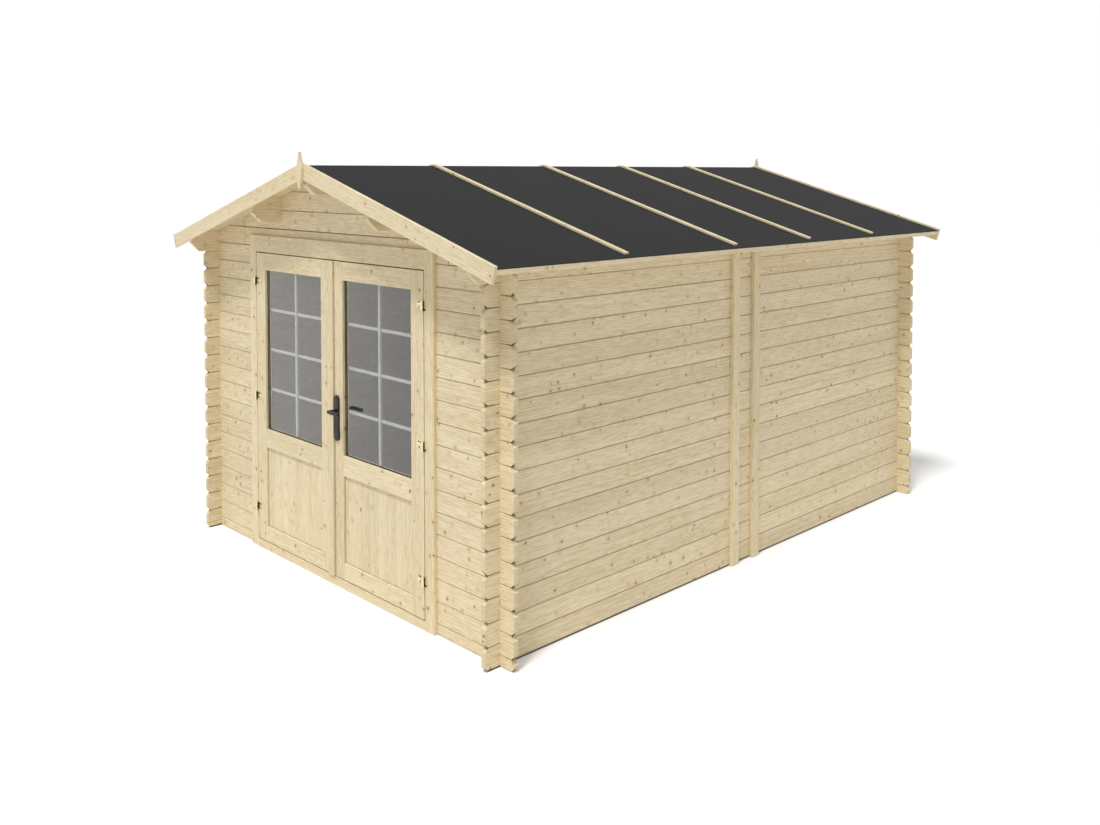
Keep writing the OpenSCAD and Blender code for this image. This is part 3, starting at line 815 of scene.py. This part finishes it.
# Dark seals before and behind each glass, partly real seal and partly painted shade of the glass slots,
# and a dark strip around each panel that is painted shade of the gap there
SEAL_W = 0.0028
SEAL_Y = ((-1.9558, -1.9522), (-1.9478, -1.9405))
SEAL_EASE = 0.0007
JOINT_W = 0.0018
JOINT_OUT = 0.0006
JOINT_IN = 0.003
JOINT_EASE = 0.0003
JOINT_Y = (PANEL_Y[0] - JOINT_OUT, PANEL_Y[0] + JOINT_IN)
PANEL_OPENING = (PANEL_Z[0] + PANEL_SEAT, PANEL_Z[1] - PANEL_SEAT)
for side, hand in HANDS:
    body = hand + "_door"
    ends = sorted((side * GLASS_X[0], side * GLASS_X[1]))
    bm = bmesh.new()
    for y_ends in SEAL_Y:
        add_frame(bm, ends, GLASS_Z, SEAL_W, y_ends)
    bmesh.ops.recalc_face_normals(bm, faces=bm.faces)
    ease_edges(bm, SEAL_EASE, 2)
    finish_piece(body + "_glass_seals_shade", bm, seal_shade, body)
    bm = bmesh.new()
    add_frame(bm, ends, PANEL_OPENING, JOINT_W, JOINT_Y)
    bmesh.ops.recalc_face_normals(bm, faces=bm.faces)
    ease_edges(bm, JOINT_EASE)
    finish_piece(body + "_panel_joint_shade", bm, joint_shade, body)

# Angles of the fittings' edges: eased from the first, shown sharp from the others
FITTING_LEAST = 40
FITTING_SHARP = 35
SCREW_SHARP = 50

# Hinges with eased edges and screws
HINGE_EASE = 0.0005
HINGES = (
    ("hinge_pins", "shed"),
    ("left_hinge_barrels", "left_door"),
    ("right_hinge_barrels", "right_door"),
)
for name, body in HINGES:
    bm = copy_node(name)
    ease_edges(bm, HINGE_EASE, 1, FITTING_LEAST)
    finish_piece("brass_" + name, bm, brass, body, replaces=(name,), smooth=FITTING_SHARP)
HINGE_SCREW_R = 0.005
HINGE_SCREW_H = 0.0014
JAMB_SCREWS = ((0.017, -0.0065),)
LEAF_SCREWS = ((-0.018, 0.031), (-0.031, 0.031), (-0.044, 0.031), (-0.034, 0.006))
for name, body, sides, spots in (
    ("hinge_screws_frame", "shed", (-1, 1), JAMB_SCREWS),
    ("hinge_screws_left", "left_door", (-1,), LEAF_SCREWS),
    ("hinge_screws_right", "right_door", (1,), LEAF_SCREWS),
):
    bm = bmesh.new()
    for side in sides:
        for level in HINGE_Z:
            for out, up in spots:
                head = (side * (HINGE_X + out), FACE_Y - HINGE_PLATE_T, level + up)
                add_screw(bm, head, (0, -1, 0), HINGE_SCREW_R, HINGE_SCREW_H)
    finish_piece(name, bm, bronze, body, smooth=SCREW_SHARP)

# Handle: plates and levers with rounded edges
PLATE_EASE = 0.0022
LEVER_EASE = 0.0035
HANDLE_PARTS = (
    ("handle_plates", "right_door", PLATE_EASE, 3),
    ("outer_lever", "handle", LEVER_EASE, 4),
    ("inner_lever", "handle", LEVER_EASE, 4),
)
for name, body, ease, segments in HANDLE_PARTS:
    bm = copy_node(name)
    ease_edges(bm, ease, segments, FITTING_LEAST)
    finish_piece("black_" + name, bm, black, body, replaces=(name,), smooth=FITTING_SHARP)

# Screws of the handle plates
HANDLE_SCREW_Z = (1.07, 0.852)
HANDLE_SCREW_R = 0.004
HANDLE_SCREW_H = 0.0012
bm = bmesh.new()
for front, way in ((FACE_Y - PLATE_T, -1), (LEAF_BACK + PLATE_T, 1)):
    for level in HANDLE_SCREW_Z:
        add_screw(bm, (HANDLE_X, front, level), (0, way, 0), HANDLE_SCREW_R, HANDLE_SCREW_H)
finish_piece("handle_screws", bm, black, "right_door", smooth=SCREW_SHARP)

# Lock seen in the keyholes: a round hole with a slot below
KEY_R = 0.0041
KEY_TURN = 148
KEY_STEP = 8
KEY_SLOT_W = 0.0021
KEY_SLOT = 0.0126
KEY_FRONT = 0.006
KEY_BACK = 0.0005
KEY_Y = (
    (FACE_Y - KEY_FRONT, FACE_Y - KEY_BACK),
    (LEAF_BACK + KEY_BACK, LEAF_BACK + KEY_FRONT),
)
turns = [math.radians(angle) for angle in range(-KEY_TURN, KEY_TURN + 1, KEY_STEP)]
keyhole = [(KEY_R * math.sin(turn), KEY_R * math.cos(turn)) for turn in turns]
keyhole += [(KEY_SLOT_W, -KEY_SLOT), (-KEY_SLOT_W, -KEY_SLOT)]
bm = bmesh.new()
for y_ends in KEY_Y:
    add_bar(bm, [[Vector((HANDLE_X + x, y, KEY_Z + z)) for y in y_ends] for x, z in keyhole])
finish_piece("lock_keyways", bm, black, "right_door", smooth=FITTING_SHARP)

# Felt and glass keep their nodes' shape
OWN_SHAPES = (
    ("left_roof_felt", felt),
    ("right_roof_felt", felt),
    ("left_door_glass", glass),
    ("right_door_glass", glass),
)
for name, material in OWN_SHAPES:
    nodes[name].data.materials.clear()
    nodes[name].data.materials.append(material)

# Nails along the felt laths
NAILS = 7
NAIL_FIRST = 0.06
NAIL_STEP = 0.25
NAIL_R = 0.0035
NAIL_H = 0.0009
for side, hand in HANDS:
    bm = bmesh.new()
    normal = (side * math.sin(PITCH), 0, math.cos(PITCH))
    for y in LATH_Y:
        for k in range(NAILS):
            head = slope_point(side, NAIL_FIRST + k * NAIL_STEP, LATH_TOP, y)
            add_screw(bm, head, normal, NAIL_R, NAIL_H)
    finish_piece(hand + "_lath_nails", bm, zinc, "shed", smooth=SCREW_SHARP)


# Rays that see the background as it is: straight, mirrored or through glass
def seeing_rays(tree):
    ray = add_node(tree, "ShaderNodeLightPath").outputs
    seen = calc(tree, "MAXIMUM", ray["Is Camera Ray"], ray["Is Glossy Ray"])
    return calc(tree, "MAXIMUM", seen, ray["Is Transmission Ray"])


# Plain pale floor, which is white to the eye outside the walls
FLOOR_HALF = 30
FLOOR_GREY = (0.84, 0.84, 0.84, 1)
FLOOR_LIFT = 0.17
FLOOR_EDGE = 0.02
bm = bmesh.new()
floor_corners = (
    (-FLOOR_HALF, -FLOOR_HALF, 0),
    (FLOOR_HALF, -FLOOR_HALF, 0),
    (FLOOR_HALF, FLOOR_HALF, 0),
    (-FLOOR_HALF, FLOOR_HALF, 0),
)
bm.faces.new([bm.verts.new(corner) for corner in floor_corners])
floor_data = bpy.data.meshes.new("floor")
bm.to_mesh(floor_data)
bm.free()
floor = bpy.data.objects.new("floor", floor_data)
scene.collection.objects.link(floor)
floor_material, tree, shader = new_material("floor")
shader.inputs["Base Color"].default_value = FLOOR_GREY
shader.inputs["Roughness"].default_value = 0.9
shader.inputs["Specular IOR Level"].default_value = 0.0
shader.inputs["Emission Color"].default_value = (1, 1, 1, 1)
place = split(tree, add_node(tree, "ShaderNodeNewGeometry").outputs["Position"])
beyond_x = fade(tree, calc(tree, "ABSOLUTE", place[0]), HALF_W - FLOOR_EDGE, HALF_W)
beyond_y = fade(tree, calc(tree, "ABSOLUTE", place[1]), HALF_L - FLOOR_EDGE, HALF_L)
outside = calc(tree, "MAXIMUM", beyond_x, beyond_y)
lift = calc(tree, "MULTIPLY", calc(tree, "MULTIPLY", seeing_rays(tree), outside), FLOOR_LIFT)
link(tree, lift, shader, "Emission Strength")
floor_data.materials.append(floor_material)

# Soft white light from all round
WORLD_LEVEL = 0.48
world = bpy.data.worlds.new("world")
world.use_nodes = True
tree = world.node_tree
background = tree.nodes["Background"]
background.inputs["Color"].default_value = (1, 1, 1, 1)
link(tree, fade(tree, seeing_rays(tree), 0.0, 1.0, WORLD_LEVEL, 1.0), background, "Strength")
scene.world = world

# One soft lamp high at the front
LAMP_LEVEL = 2.1
LAMP_ANGLE = 10.5
LAMP_WAY = (-0.13, 0.4, -0.908)
lamp_data = bpy.data.lights.new("key", "SUN")
lamp_data.energy = LAMP_LEVEL
lamp_data.angle = math.radians(LAMP_ANGLE)
lamp = bpy.data.objects.new("key", lamp_data)
lamp.rotation_euler = Vector(LAMP_WAY).to_track_quat("-Z", "Y").to_euler()
scene.collection.objects.link(lamp)
